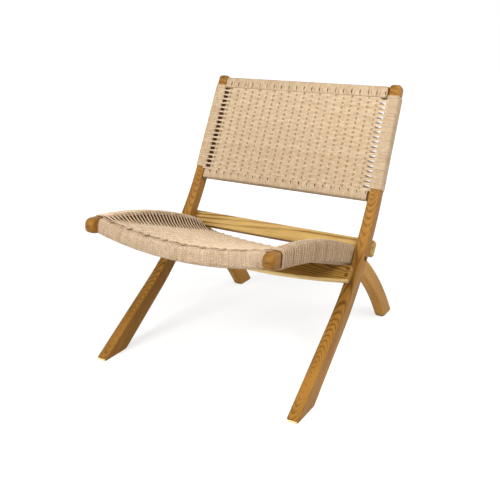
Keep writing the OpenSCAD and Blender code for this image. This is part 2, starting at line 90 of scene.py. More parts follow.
world = bpy.data.worlds.new("studio")
bpy.context.scene.world = world
world.use_nodes = True
sky = world.node_tree
sky.nodes.clear()
ray = node(sky, "ShaderNodeLightPath")
seen = node(sky, "ShaderNodeMath", {}, {0: ray.outputs["Is Camera Ray"], 1: ray.outputs["Is Glossy Ray"]},
            operation="MAXIMUM")
seen = node(sky, "ShaderNodeMath", {}, {0: seen.outputs[0], 1: ray.outputs["Is Transmission Ray"]},
            operation="MAXIMUM")
light = node(sky, "ShaderNodeBackground", {"Color": (1, 0.985, 0.96, 1), "Strength": 0.27})
white = node(sky, "ShaderNodeBackground", {"Color": (1, 1, 1, 1), "Strength": 1.0})
both = node(sky, "ShaderNodeMixShader", {}, {0: seen.outputs[0], 1: light.outputs[0], 2: white.outputs[0]})
node(sky, "ShaderNodeOutputWorld", {}, {0: both.outputs[0]})

# Matt white paper. It takes the chair's shadow, and to the camera it grows brighter away from the chair,
# until it is as white as the surround.
paper, tree = bare_material("matt_white_studio_floor")
ray = node(tree, "ShaderNodeLightPath")
seen = node(tree, "ShaderNodeMath", {}, {0: ray.outputs["Is Camera Ray"], 1: ray.outputs["Is Glossy Ray"]},
            operation="MAXIMUM")
plain = node(tree, "ShaderNodeBsdfDiffuse", {"Color": (0.88, 0.88, 0.88, 1)})
shade = node(tree, "ShaderNodeBsdfDiffuse", {"Color": (0.3, 0.3, 0.3, 1)})
place = node(tree, "ShaderNodeTexCoord").outputs["Object"]
away = node(tree, "ShaderNodeVectorMath", {}, {0: place}, operation="LENGTH")
away = node(tree, "ShaderNodeMapRange", {1: 0.7, 2: 2.4, 3: 0.72, 4: 1.0}, {0: away.outputs["Value"]})
glow = node(tree, "ShaderNodeEmission", {"Color": (1, 1, 1, 1)}, {"Strength": away.outputs[0]})
pale = node(tree, "ShaderNodeAddShader", {}, {0: shade.outputs[0], 1: glow.outputs[0]})
both = node(tree, "ShaderNodeMixShader", {}, {0: seen.outputs[0], 1: plain.outputs[0], 2: pale.outputs[0]})
node(tree, "ShaderNodeOutputMaterial", {}, {0: both.outputs[0]})
floor_mesh = bpy.data.meshes.new("floor")
floor_mesh.from_pydata([(-9, -9, 0), (9, -9, 0), (9, 9, 0), (-9, 9, 0)], [], [(0, 1, 2, 3)])
floor_mesh.materials.append(paper)
floor = place_in_scene("floor", floor_mesh)

for name, place, aim, size, watts in [
    ("lamp_left", (-0.9, -2.9, 1.95), (0, 0, 0.35), 1.5, 131),
    ("lamp_right", (1.3, -0.6, 1.7), (0.3, 0, 0.4), 0.8, 34),
    ("lamp_top", (0.1, -0.5, 2.6), (0, 0, 0.35), 1.6, 9),
    ("lamp_rear", (1.5, 2.9, 1.5), (0, 0, 0.35), 1.6, 44),
]:
    lamp = bpy.data.lights.new(name, "AREA")
    lamp.shape = "SQUARE"
    lamp.size = size
    lamp.energy = watts
    lamp_object = place_in_scene(name, lamp)
    lamp_object.location = place
    backwards = lamp_object.location - Vector(aim)
    lamp_object.rotation_euler = backwards.to_track_quat("Z", "Y").to_euler()


# ---------------------------------------------------------------------------------------------------
# Stiles: two sabre-curved boards of ash, sawn from a straight plank, with every long edge rounded by a
# router. Their upper ends are softened, their feet are cut level, and each outer face has a counterbore.
def ash(name, pale, deep, along, pith, marks=1.0, gap=0.0036, wander=15, shine=0.09):
    # Oiled ash, sawn along a plank whose pith line goes through one point. Its early wood leaves a dark
    # line every growth ring (gap), which wanders, makes arches where a board curves across it, and is
    # stronger in some long patches than in others (marks). The pores are too fine to show, so they are
    # drawn as streaks 2 mm wide and 40 mm long. Oil gives a soft sheen, and hands a stronger one (shine).
    made, t = bare_material(name)
    place = node(t, "ShaderNodeTexCoord").outputs["Object"]
    turn = Vector(along).to_track_quat("X", "Z").to_euler()
    plank = node(t, "ShaderNodeMapping", {"Rotation": turn, "Location": pith}, {"Vector": place},
                 vector_type="TEXTURE").outputs[0]
    slow = node(t, "ShaderNodeMapping", {"Scale": (0.1, 1, 1)}, {"Vector": plank})
    rings = node(t, "ShaderNodeTexWave", {"Scale": math.pi / 10 / gap, "Distortion": wander, "Detail": 2,
                                          "Detail Scale": 0.22, "Detail Roughness": 0.4},
                 {"Vector": slow.outputs[0]}, wave_type="RINGS", rings_direction="X", wave_profile="SAW")
    early = node(t, "ShaderNodeValToRGB", {}, {0: rings.outputs["Fac"]})
    early.color_ramp.elements[0].color = (0.85, 0.85, 0.85, 1)
    early.color_ramp.elements[1].position = 0.3
    early.color_ramp.elements[1].color = (0.08, 0.08, 0.08, 1)
    early.color_ramp.elements.new(0.72).color = (0.2, 0.2, 0.2, 1)
    early.color_ramp.elements.new(1.0).color = (1, 1, 1, 1)
    long_way = node(t, "ShaderNodeMapping", {"Scale": (26, 560, 560)}, {"Vector": plank})
    pores = node(t, "ShaderNodeTexNoise", {"Scale": 1, "Detail": 2, "Roughness": 0.6},
                 {"Vector": long_way.outputs[0]})
    pore = node(t, "ShaderNodeMapRange", {1: 0.5, 2: 0.7, 3: 0, 4: 0.3}, {0: pores.outputs[0]})
    broad_way = node(t, "ShaderNodeMapping", {"Scale": (4, 34, 34)}, {"Vector": plank})
    broad = node(t, "ShaderNodeTexNoise", {"Scale": 1, "Detail": 2}, {"Vector": broad_way.outputs[0]})
    tone = node(t, "ShaderNodeMapRange", {1: 0.3, 2: 0.7, 3: -0.16, 4: 0.2}, {0: broad.outputs[0]})
    tone.clamp = False
    patch_way = node(t, "ShaderNodeMapping", {"Scale": (4, 15, 15)}, {"Vector": plank})
    patches = node(t, "ShaderNodeTexNoise", {"Scale": 1, "Detail": 1}, {"Vector": patch_way.outputs[0]})
    force = node(t, "ShaderNodeMapRange", {1: 0.4, 2: 0.62, 3: 0.26 * marks, 4: 0.7 * marks},
                 {0: patches.outputs[0]})
    mark = node(t, "ShaderNodeMath", {}, {0: early.outputs[0], 1: force.outputs[0], 2: pore.outputs[0]},
                operation="MULTIPLY_ADD")
    mark = node(t, "ShaderNodeMath", {}, {0: mark.outputs[0], 1: tone.outputs[0]}, operation="ADD")
    mark.use_clamp = True
    colour = node(t, "ShaderNodeMix", {6: linear(pale), 7: linear(deep)}, {0: mark.outputs[0]},
                  data_type="RGBA")
    rough = node(t, "ShaderNodeMapRange", {3: 0.4, 4: 0.55}, {0: mark.outputs[0]})
    relief = node(t, "ShaderNodeBump", {"Strength": 0.3, "Distance": 0.0003}, {"Height": mark.outputs[0]},
                  invert=True)
    skin = node(t, "ShaderNodeBsdfPrincipled", {"IOR": 1.45, "Specular IOR Level": shine}, {
        "Base Color": colour.outputs[2], "Roughness": rough.outputs[0], "Normal": relief.outputs[0]})
    node(t, "ShaderNodeOutputMaterial", {}, {0: skin.outputs[0]})
    return made


# The pivot's place in Y and Z, the length above it from which a stile is straight, and its lean there
PIVOT = np.array([62.4666, 286.0]) / 1000
STRAIGHT, BACK_LEAN = 0.201132, math.radians(26.8)


def arc(a0, a1, r):
    # Step along a circle of radius r, while the lean turns from a0 to a1
    return r * np.array([math.cos(a1) - math.cos(a0), math.sin(a0) - math.sin(a1)])


def stile_line(s):
    # Middle of a stile at the length s above the pivot: its place in Y and Z, its lean and half its depth.
    # The board curves between -bent and STRAIGHT, and is straight above and below.
    lean0, leg_lean, bent = math.radians(40.2), math.radians(55), 0.216979
    up_r, down_r = 0.86, 0.84
    deep, deep_back, foot_swell, foot = 0.037, 0.034, 0.019, 0.452026
    if s > 0:
        half = (deep + (deep_back - deep) * min(s / STRAIGHT, 1)) / 2
        lean = lean0 - s / up_r if s <= STRAIGHT else BACK_LEAN
        mid, straight = PIVOT + arc(lean0, lean, up_r), max(s - STRAIGHT, 0)
    else:
        half = (deep - foot_swell * s / foot) / 2
        lean = lean0 - s / down_r if s > -bent else leg_lean
        mid, straight = PIVOT + arc(lean0, lean, down_r), min(s + bent, 0)
    return mid + straight * np.array([math.sin(lean), math.cos(lean)]), lean, half


def ring(half_a, low, high, r):
    # Rounded rectangle, 28 points. A point just before and after each corner keeps the flats flat in
    # smooth shading.
    r = max(min(r, half_a * 0.98, (high - low) * 0.49), 1e-5)
    points = []
    for x, y, start in ((half_a - r, high - r, 0), (r - half_a, high - r, 90), (r - half_a, low + r, 180),
                        (half_a - r, low + r, 270)):
        for k in (-0.12, 0, 0.25, 0.5, 0.75, 1, 1.12):
            a = math.radians(start + 90 * min(max(k, 0), 1))
            slide = (min(k, 0) + max(k - 1, 0)) * r
            points.append((x + r * math.cos(a) - slide * math.sin(a),
                           y + r * math.sin(a) + slide * math.cos(a)))
    return points


def skin_over(name, rings, material):
    # Closed mesh through equal rings of points, with both ends filled
    mesh = bpy.data.meshes.new(name)
    n = len(rings[0])
    faces = [(i * n + j, i * n + (j + 1) % n, (i + 1) * n + (j + 1) % n, (i + 1) * n + j)
             for i in range(len(rings) - 1) for j in range(n)]
    faces += [tuple(range(n))[::-1], tuple((len(rings) - 1) * n + j for j in range(n))]
    mesh.from_pydata([tuple(p) for points in rings for p in points], [], faces)
    work = bmesh.new()
    work.from_mesh(mesh)
    bmesh.ops.remove_doubles(work, verts=work.verts, dist=1e-6)
    bmesh.ops.recalc_face_normals(work, faces=work.faces)
    for face in work.faces:
        face.smooth = True
    work.to_mesh(mesh)
    work.free()
    mesh.materials.append(material)
    return place_in_scene(name, mesh)


def curved_bar(name, line, start, stop, x, half_x, edge, foot, cap, groove, material):
    # A board along a line of the side view, cut level at its foot and rounded at its other end. foot says
    # how high its edge is rounded, how far its sides, rear and front draw in there, and whether the front
    # is bevelled instead. cap says how far the other end is rounded, seen from the side and from above. A
    # groove is sawn all round.
    def place(s, a, b):
        mid, lean, half = line(s)
        return np.array([x + a, mid[0] - b * half * math.cos(lean), mid[1] + b * half * math.sin(lean)])

    groove_half, groove_deep, wall = 0.002, 0.003, 0.0001
    rings = []
    drop, in_x, in_low, in_high, toe = foot
    for turn in (90, 68, 46, 23, 0):
        level = drop - drop * math.sin(math.radians(turn))
        pull = 1 - math.cos(math.radians(turn))
        blunt = 1 - level / drop if toe else pull
        half = line(start)[2]
        points = []
        for a, b in ring(half_x - in_x * pull, -half + in_low * pull, half - in_high * blunt, edge):
            s = start
            # Go along the board until this point of it is at the wanted level
            for k in range(12):
                p, q = place(s, a, b / half), place(s + 1e-4, a, b / half)
                s += (level - p[2]) * 1e-4 / (q[2] - p[2])
            points.append(place(s, a, b / half))
        rings.append(points)
    round_b, round_x = cap
    ends = [stop - r + r * math.sin(math.radians(t)) for r in (round_b, round_x) for t in range(0, 91, 15)]
    steps = list(np.linspace(start, stop - round_b, int((stop - round_b - start) / 0.012)))[:-1]
    if groove:
        steps += [groove + k * groove_half + w for k in (-1, 1) for w in (-wall, wall)]
    last = start - 1
    for s in sorted(steps + ends):
        if s - last < 1e-4:
            continue
        last = s
        over_b, over_x = max(0, 1 - (stop - s) / round_b), max(0, 1 - (stop - s) / round_x)
        half = line(s)[2] - round_b * 0.96 * (1 - math.sqrt(max(0, 1 - over_b ** 2)))
        wide = half_x - round_x * (1 - math.sqrt(max(0, 1 - over_x ** 2)))
        sunk = groove_deep if groove and abs(s - groove) < groove_half else 0
        rings.append([place(s, a, b / line(s)[2]) for a, b in ring(
            wide - sunk, -half + sunk, half - sunk, edge)])
    return skin_over(name, rings, material)


def cut_end(name, pale, deep):
    # Ash cut across its fibres: matt, with its open pores as dark dots. The real ones are too fine to
    # show, so they are drawn 1.25 mm apart.
    made, t = bare_material(name)
    place = node(t, "ShaderNodeTexCoord").outputs["Object"]
    dots = node(t, "ShaderNodeTexVoronoi", {"Scale": 800}, {"Vector": place})
    dot = node(t, "ShaderNodeMapRange", {1: 0.1, 2: 0.45, 3: 1, 4: 0}, {0: dots.outputs["Distance"]})
    colour = node(t, "ShaderNodeMix", {6: linear(pale), 7: linear(deep)}, {0: dot.outputs[0]},
                  data_type="RGBA")
    skin = node(t, "ShaderNodeBsdfPrincipled", {"Roughness": 0.7, "Specular IOR Level": 0.14},
                {"Base Color": colour.outputs[2]})
    node(t, "ShaderNodeOutputMaterial", {}, {0: skin.outputs[0]})
    return made


def drill(piece, holes, lining):
    # Cut blind round holes, each given by its mouth, its direction, its radius and its depth. The faces
    # inside take the material at the place named lining.
    bore = bmesh.new()
    for mouth, inward, r, deep in holes:
        turn = Vector(inward).to_track_quat("Z", "Y").to_matrix().to_4x4()
        bmesh.ops.create_cone(bore, cap_ends=True, segments=32, radius1=r, radius2=r, depth=2 * deep,
                              matrix=Matrix.Translation(mouth) @ turn)
    cutter_mesh = bpy.data.meshes.new("cutter")
    bore.to_mesh(cutter_mesh)
    bore.free()
    cutter = place_in_scene("cutter", cutter_mesh)
    cut = piece.modifiers.new("drill", "BOOLEAN")
    cut.operation = "DIFFERENCE"
    cut.solver = "EXACT"
    cut.object = cutter
    bpy.context.view_layer.update()
    mesh = bpy.data.meshes.new_from_object(piece.evaluated_get(bpy.context.evaluated_depsgraph_get()))
    piece.modifiers.clear()
    piece.data = mesh
    mesh.set_sharp_from_angle(angle=math.radians(50))
    bpy.data.objects.remove(cutter)
    for face in mesh.polygons:
        for mouth, inward, r, deep in holes:
            off = face.center - Vector(mouth)
            into = off.dot(Vector(inward))
            if into > 2e-4 and (off - into * Vector(inward)).length < r * 1.01:
                face.material_index = lining


stile_x, stile_half, toe = 0.299, 0.016, 0.0056
cord_from, cord_to = 0.2027, 0.4831
back_way = np.array([math.sin(BACK_LEAN), math.cos(BACK_LEAN)])
end_grain = cut_end("cut_ash_end_grain", "#e3c08c", "#b98b50")
# Dark wood for painted shade: the wood under the cord, the bare inner faces between the cord's ends and the
# insides of the bores lie in shade, so they are drawn dark
shade_painted_ash = ash("dark_ash_for_painted_shade", "#57371a", "#3a230e", (1, 0, 0), (0, 0.3, 0.5))
for side, name in ((-1, "left"), (1, "right")):
    # The pith lay in front of the board, so its front face shows arches and its sides show lines
    stile_ash = ash("oiled_ash_stile_" + name, "#8e642a", "#472a08", (0, 0.70, 0.72),
                    (side * 0.295, PIVOT[0] - 0.052, PIVOT[1] + 0.045), 1.2)
    stile = curved_bar(name + "_stile_board", stile_line, -0.392, 0.522132, side * stile_x, stile_half,
                       0.0042, (toe, 0.003, 0.003, 0.0044, True), (0.014, 0.0095), None, stile_ash)
    stile.data.materials.append(end_grain)
    stile.data.materials.append(shade_painted_ash)
    # Along the wound part the stile is drawn in the dark wood of painted shade, which shows on the bare
    # inner face between the cord's ends
    low, high = stile_line(cord_from)[0] @ back_way, stile_line(cord_to)[0] @ back_way
    for face in stile.data.polygons:
        if low < np.dot(face.center[1:], back_way) < high:
            face.material_index = 2
        if face.center.z < toe + 1e-4 and face.normal.y < -0.75:
            face.material_index = 1
    bolt_mouth, bore_r, bore_deep = (side * (stile_x + stile_half), PIVOT[0], PIVOT[1]), 0.0075, 0.011
    # The counterbore's inside is painted shade: it takes the same dark wood
    drill(stile, [(bolt_mouth, (-side, 0, 0), bore_r, bore_deep)], 2)
    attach(stile, "back_frame")
    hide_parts(name + "_stile")


# ---------------------------------------------------------------------------------------------------
# Wound stiles: paper cord turned close round the upper part of each stile, one turn for each strand of
# the back's weave, so 3.7 mm a turn. It is pressed a little flat against the wood, and each turn's ends
# are held in kerfs on the bare inner face.
def paper_cord(name, pale, deep, lay=0.0045):
    # Twisted kraft paper: three plies, matt, with small changes of tone from strand to strand. The lines
    # between the plies come every 4.5 mm on the back and every 5.8 mm on the seat, as bumps and as painted
    # shade in their creases, wider and deeper than the real ones, because those are too fine to show.
    made, t = bare_material(name)
    run = node(t, "ShaderNodeAttribute", attribute_name="run").outputs["Fac"]
    turn = node(t, "ShaderNodeAttribute", attribute_name="turn").outputs["Fac"]
    strand = node(t, "ShaderNodeAttribute", attribute_name="strand").outputs["Fac"]
    twist = node(t, "ShaderNodeAttribute", attribute_name="twist").outputs["Fac"]
    ply = node(t, "ShaderNodeMath", {1: 3.0}, {0: turn, 2: twist}, operation="MULTIPLY_ADD")
    ply = node(t, "ShaderNodeMath", {1: 1 / lay}, {0: run, 2: ply.outputs[0]}, operation="MULTIPLY_ADD")
    ply = node(t, "ShaderNodeMath", {1: 2 * math.pi}, {0: ply.outputs[0]}, operation="MULTIPLY")
    ply = node(t, "ShaderNodeMath", {}, {0: ply.outputs[0]}, operation="SINE")
    # The creases between the plies are darkened: painted shade
    groove = node(t, "ShaderNodeMapRange", {1: -1, 2: 0, 3: 1.0, 4: 0}, {0: ply.outputs[0]})
    # The flanks, where turns lie against each other, are darker: painted shade
    flank = node(t, "ShaderNodeMath", {1: 2 * math.pi}, {0: turn}, operation="MULTIPLY")
    flank = node(t, "ShaderNodeMath", {}, {0: flank.outputs[0]}, operation="SINE")
    flank = node(t, "ShaderNodeMath", {}, {0: flank.outputs[0]}, operation="ABSOLUTE")
    flank = node(t, "ShaderNodeMapRange", {1: 0.7, 2: 1.0, 3: 0, 4: 0.4}, {0: flank.outputs[0]})
    groove = node(t, "ShaderNodeMath", {}, {0: groove.outputs[0], 1: flank.outputs[0]}, operation="ADD")
    place = node(t, "ShaderNodeTexCoord").outputs["Object"]
    blot = node(t, "ShaderNodeTexNoise", {"Scale": 90, "Detail": 3}, {"Vector": place})
    tone = node(t, "ShaderNodeMapRange", {1: 0.3, 2: 0.7, 3: 0, 4: 0.3}, {0: blot.outputs[0]})
    tone = node(t, "ShaderNodeMath", {1: 0.22}, {0: strand, 2: tone.outputs[0]}, operation="MULTIPLY_ADD")
    tone = node(t, "ShaderNodeMath", {}, {0: groove.outputs[0], 1: tone.outputs[0]}, operation="ADD")
    tone.use_clamp = True
    colour = node(t, "ShaderNodeMix", {6: linear(pale), 7: linear(deep)}, {0: tone.outputs[0]},
                  data_type="RGBA")
    relief = node(t, "ShaderNodeBump", {"Strength": 1.0, "Distance": 0.0006}, {"Height": ply.outputs[0]})
    skin = node(t, "ShaderNodeBsdfPrincipled", {"IOR": 1.4, "Roughness": 0.85, "Specular IOR Level": 0.2},
                {"Base Color": colour.outputs[2], "Normal": relief.outputs[0]})
    node(t, "ShaderNodeOutputMaterial", {}, {0: skin.outputs[0]})
    return made


# The tree that lays a flattened cord along every edge path of a mesh
laying = bpy.data.node_groups.new("lay_cord_on_path", "GeometryNodeTree")
for label, kind, low in (("Geometry", "NodeSocketGeometry", None), ("Cord width", "NodeSocketFloat", 0.0036),
                         ("Cord thickness", "NodeSocketFloat", 0.0028), ("Sides", "NodeSocketInt", 8),
                         ("Cord material", "NodeSocketMaterial", None)):
    made = laying.interface.new_socket(label, in_out="INPUT", socket_type=kind)
    if low is not None:
        made.default_value = low
laying.interface.new_socket("Geometry", in_out="OUTPUT", socket_type="NodeSocketGeometry")
given = node(laying, "NodeGroupInput")
path = node(laying, "GeometryNodeMeshToCurve", {}, {0: given.outputs["Geometry"]})
facing = node(laying, "GeometryNodeInputNamedAttribute", {"Name": "facing"}, data_type="FLOAT_VECTOR")
path = node(laying, "GeometryNodeSetCurveNormal", {}, {0: path.outputs[0], "Normal": facing.outputs[0]},
            mode="FREE")
measure = node(laying, "GeometryNodeSplineParameter")
path = node(laying, "GeometryNodeStoreNamedAttribute", {"Name": "run"},
            {0: path.outputs[0], 3: measure.outputs["Length"]}, data_type="FLOAT", domain="POINT")
section = node(laying, "GeometryNodeCurvePrimitiveCircle", {"Radius": 0.5},
               {"Resolution": given.outputs["Sides"]})
around = node(laying, "GeometryNodeSplineParameter")
section = node(laying, "GeometryNodeStoreNamedAttribute", {"Name": "turn"},
               {0: section.outputs[0], 3: around.outputs["Factor"]}, data_type="FLOAT", domain="POINT")
flat = node(laying, "ShaderNodeCombineXYZ", {2: 1.0},
            {0: given.outputs["Cord thickness"], 1: given.outputs["Cord width"]})
section = node(laying, "GeometryNodeTransform", {}, {0: section.outputs[0], "Scale": flat.outputs[0]})
girth = node(laying, "GeometryNodeInputNamedAttribute", {"Name": "girth"}, data_type="FLOAT")
tube = node(laying, "GeometryNodeCurveToMesh", {"Fill Caps": True},
            {"Curve": path.outputs[0], "Profile Curve": section.outputs[0], "Scale": girth.outputs[0]})
tube = node(laying, "GeometryNodeSetShadeSmooth", {}, {0: tube.outputs[0]})
tube = node(laying, "GeometryNodeRealizeInstances", {}, {0: tube.outputs[0]})
tube = node(laying, "GeometryNodeSetMaterial", {},
            {0: tube.outputs[0], "Material": given.outputs["Cord material"]})
node(laying, "NodeGroupOutput", {}, {0: tube.outputs[0]})


def lay_cord(name, strands, width, thick, material, body, *nodes, shades=None):
    # Each strand is its points, the directions that they face, whether it closes, and where it isn't even
    # its girth at each point. All strands make one piece. Each of shades darkens the sides of one strand.
    mesh = bpy.data.meshes.new(name + "_paths")
    points, facing, tone, edges, girths, twists = [], [], [], [], [], []
    for k, (line, out, closed, *girth) in enumerate(strands):
        first = len(points)
        girths += list(girth[0]) if girth else [1.0] * len(line)
        points += [tuple(p) for p in line]
        facing += [tuple(p) for p in out]
        own = random.Random(name + str(k)).random()
        tone += [own + (shades[k] * abs(p[0]) if shades else 0) for p in out]
        twists += [0.5 * (k % 2) + 0.25 * own] * len(line)
        edges += [(first + i, first + i + 1) for i in range(len(line) - 1)]
        if closed:
            edges.append((len(points) - 1, first))
    mesh.from_pydata(points, edges, [])
    mesh.attributes.new("facing", "FLOAT_VECTOR", "POINT").data.foreach_set("vector", np.ravel(facing))
    mesh.attributes.new("strand", "FLOAT", "POINT").data.foreach_set("value", tone)
    mesh.attributes.new("girth", "FLOAT", "POINT").data.foreach_set("value", girths)
    mesh.attributes.new("twist", "FLOAT", "POINT").data.foreach_set("value", twists)
    paths = place_in_scene(name + "_paths", mesh)
    lay = paths.modifiers.new("lay", "NODES")
    lay.node_group = laying
    sockets = {s.name: s.identifier for s in laying.interface.items_tree if s.in_out == "INPUT"}
    lay[sockets["Cord width"]] = width
    lay[sockets["Cord thickness"]] = thick
    lay[sockets["Cord material"]] = material
    bpy.context.view_layer.update()
    tube = bpy.data.meshes.new_from_object(paths.evaluated_get(bpy.context.evaluated_depsgraph_get()))
    paths.modifiers.clear()
    bpy.data.objects.remove(paths)
    piece = place_in_scene(name, tube)
    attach(piece, body)
    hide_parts(*nodes)


def turn_round(mid, a, half_a, b, half_b, *radii, bare=False):
    # One turn of cord round a bar: 16 points and the directions that they face. The corners' radii go
    # round from the one at +a and +b. A bare turn leaves the side at -a bare, and ends in kerfs there.
    line, out = [], []
    for sa, sb, start, r in ((1, 1, 0, radii[0]), (-1, 1, 90, radii[-3 % len(radii)]),
                             (-1, -1, 180, radii[-2 % len(radii)]), (1, -1, 270, radii[-1])):
        for k in (0, 30, 60, 90):
            w = math.radians(start + k)
            n = a * math.cos(w) + b * math.sin(w)
            line.append(mid + a * sa * (half_a - r) + b * sb * (half_b - r) + r * n)
            out.append(n)
    if bare:
        # The kerfs are cut just inside the corners at -a
        kerf = [mid - a * (half_a - 0.004) + b * sb * (half_b - radii[0] - 0.001) for sb in (1, -1)]
        line = [kerf[1]] + line[8:] + line[:8] + [kerf[0]]
        out = [out[8]] + out[8:] + out[:8] + [out[7]]
    return line, out, not bare


def along_and_out(lean):
    # The directions along a leaning bar and square to it, to its front or its top
    return np.array([0, math.sin(lean), math.cos(lean)]), np.array([0, -math.cos(lean), math.sin(lean)])


def back_place(x, u, v):
    # Place in the back: x across, u up the stile from the pivot, v in front of the stile's middle
    base = stile_line(STRAIGHT)[0]
    return np.array([x, base[0], base[1]]) + (u - STRAIGHT) * back_up + v * back_out


# The way across the chair, and the wound cord's thickness
X, CORD = np.array([1.0, 0, 0]), 0.0028
back_up, back_out = along_and_out(BACK_LEAN)
back_cord = paper_cord("twisted_paper_cord_back", "#f6e5c8", "#b8946a")
# The warp's cord is drawn darker, as painted shade: it lies in pits at the crossings, where it shows as dark
# dots
warp_cord = paper_cord("twisted_paper_cord_warp", "#dcc49c", "#94764c")
wrap_low, wrap_top, turns = 0.201732, 0.484132, 76
wrap_half_x, wrap_half_out, wrap_r = 0.01742, 0.01842, 0.0055
for side, name in ((-1, "left"), (1, "right")):
    shake = random.Random(name)
    strands = []
    for k in range(turns):
        u = wrap_low + (k + 0.5) * (wrap_top - wrap_low) / turns
        mid = back_place(side * stile_x, u + shake.uniform(-0.0003, 0.0003), 0)
        strands.append(turn_round(mid, X * side, wrap_half_x, back_out, wrap_half_out, wrap_r, bare=True))
    lay_cord(name + "_stile_cord", strands, 0.0037, CORD, back_cord, "back_frame", name + "_stile_wrap")


# ---------------------------------------------------------------------------------------------------
# Wound back rails: rounded ash bars between the stiles, under seven turns of cord to each pair of the
# back's warp. Where a warp pair leaves the rail, the turns part and show a narrow dark slit.
def dip(x, half, sag):
    # How far a dished bar hangs at x, from 0 at its ends to sag in its middle
    r = (half * half + sag * sag) / (2 * sag)
    return math.sqrt(r * r - x * x) - (r - sag)


def cross_bar(name, mid, up, out, half_x, half_up, half_out, sag, end_r, edge, material, tip=0.004):
    # A straight or dished bar along X. Its ends are rounded by end_r, and by tip in its thickness.
    rings = []
    stations = [half_x - end_r + end_r * math.sin(math.radians(t)) for t in (18, 36, 54, 72, 90)]
    inner = [(half_x - end_r) * k / 14 for k in range(15)]
    for x in [-s for s in stations[::-1]] + [-s for s in inner[:0:-1]] + inner + stations:
        over = max(0, (abs(x) - (half_x - end_r)) / end_r)
        pull = 1 - math.sqrt(max(0, 1 - over * over))
        centre = mid + X * x - up * (dip(x, half_x, sag) if sag else 0)
        rings.append([centre + up * a + out * b for a, b in ring(
            half_up - end_r * pull, -half_out + tip * pull, half_out - tip * pull, edge)])
    return skin_over(name, rings, material)


warp_pitch, rail_turn, rail_out = 0.0266, 0.0038, 0.006
warp_x = [-0.2527 + warp_pitch * k for k in range(20)]
# How far each of seven turns bends aside, near the height (mark) at which the warp leaves the rail
aside = [0.0005, 0.0005, 0.0012, 0.0004, -0.0010, -0.0022, -0.0036]
for name, u0, half_u, mark, radii in (("top", 0.4948, 0.0160, 0.4895, (0.008, 0.0035, 0.006, 0.008)),
                                      ("lower", 0.1806, 0.0128, 0.1905, (0.0035, 0.0085, 0.0085, 0.006))):
    # The bar is drawn in the dark wood of painted shade, which shows in the slits where the turns part
    bar = cross_bar(name + "_back_rail_bar", back_place(0, u0, rail_out), back_up, back_out, 0.2829,
                    half_u - 0.0004, 0.0106, 0, 0.0005, 0.0085, shade_painted_ash, 0.0004)
    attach(bar, "back_frame")
    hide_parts(name + "_back_rail")
    strands = []
    shake = random.Random(name)
    for m in range(-6, 141):
        x = warp_x[0] - rail_turn / 2 + rail_turn * m + shake.uniform(-0.0002, 0.0002)
        push = aside[m % 7] * shake.uniform(0.6, 1.2)
        line, out, closed = turn_round(back_place(x, u0, rail_out), back_up, half_u + CORD / 2, back_out,
                                       0.0124, *radii)
        # More points along the turn's flats, so that it can bend there
        fuller, facing = [], []
        for i in range(16):
            steps = (0, 0.2, 0.4, 0.6, 0.8) if i % 4 == 3 else (0,)
            fuller += [line[i] * (1 - f) + line[(i + 1) % 16] * f for f in steps]
            facing += [out[i]] * len(steps)
        for i, p in enumerate(fuller):
            u = (p - back_place(0, 0, 0)) @ back_up
            front = (p - back_place(0, 0, rail_out)) @ back_out
            if front > 0.004:
                fuller[i] = p + X * push * math.exp(-((u - mark) / 0.006) ** 2)
        strands.append((fuller, facing, closed))
    lay_cord(name + "_rail_cord", strands, rail_turn, CORD, back_cord, "back_frame", name + "_rail_wrap")


# ---------------------------------------------------------------------------------------------------
# Woven back: pairs of cord run across and pass in front of one warp pair and behind the next. At the
# stiles one pair goes round their front and the next round their rear, which leaves a row of slots.
pairs, low_u, high_u, weave_v = 38, 0.1945, 0.4765, 0.0169
pair_pitch, points_each = (high_u - low_u) / pairs, 4
# Past the outer warp, each pair's strands close up and go to the stile's front or rear: how far they are
# on the way, and how near to each other. On the left they are drawn thinner, so that the slots show.
climb = ((0.0, 1.0), (0.3, 0.86), (0.58, 0.56), (0.95, 0.56), (1.35, 1.0))
thin_left, thin_right = [1.0, 0.92, 0.72, 0.72, 0.9], [1.05, 1.1, 1.12, 1.1, 1.0]
strands = []
shake = random.Random(5)
for j in range(pairs):
    for k in (-1, 1):
        u0 = low_u + (j + 0.5) * pair_pitch
        u = u0 + k * pair_pitch * 0.245
        to_front = j % 2 == 0
        line = []
        for i in range(-1, len(warp_x) * points_each + 1):
            x = warp_x[0] + (i - points_each / 2) * warp_pitch / points_each
            if abs(x) > 0.258:
                continue
            wave = math.cos(math.pi * (x - warp_x[0]) / warp_pitch) * (1 if to_front else -1)
            wave = math.copysign(abs(wave) ** 0.75, wave)
            sway = shake.uniform(-0.0002, 0.0002)
            line.append(back_place(x, u + sway, weave_v + 0.0013 * wave))
        girth = thin_left[::-1] + [1.0] * len(line) + thin_right
        goal = 0.0184 if to_front else -0.0184
        for side in (-1, 1):
            start = weave_v + (0.0012 if to_front == (side < 0) else -0.0012)
            apart = [k * 0.00181 * (near if side < 0 else 1.05) for f, near in climb]
            extra = [back_place(side * (0.2588 + 0.0212 * f), u0 + a, start + (goal - start) * min(f, 1))
                     for (f, near), a in zip(climb, apart)]
            line = extra[::-1] + line if side < 0 else line + extra
        strands.append((line, [back_out] * len(line), False, girth))
lay_cord("back_weft", strands, 0.0043, 0.0029, back_cord, "back_frame", "back_panel")
strands = []
for i, x in enumerate(warp_x):
    for k in (-1, 1):
        line = []
        for m in range(-3, 2 * pairs + 4):
            wave = math.sin(math.pi * m / 2) * (-1 if i % 2 == 0 else 1) if 0 <= m <= 2 * pairs else 1
            line.append(back_place(x + k * 0.0016, low_u + m * pair_pitch / 2, weave_v + 0.0012 * wave))
        strands.append((line, [back_out] * len(line), False))
lay_cord("back_warp", strands, 0.0027, CORD, warp_cord, "back_frame", "back_panel")
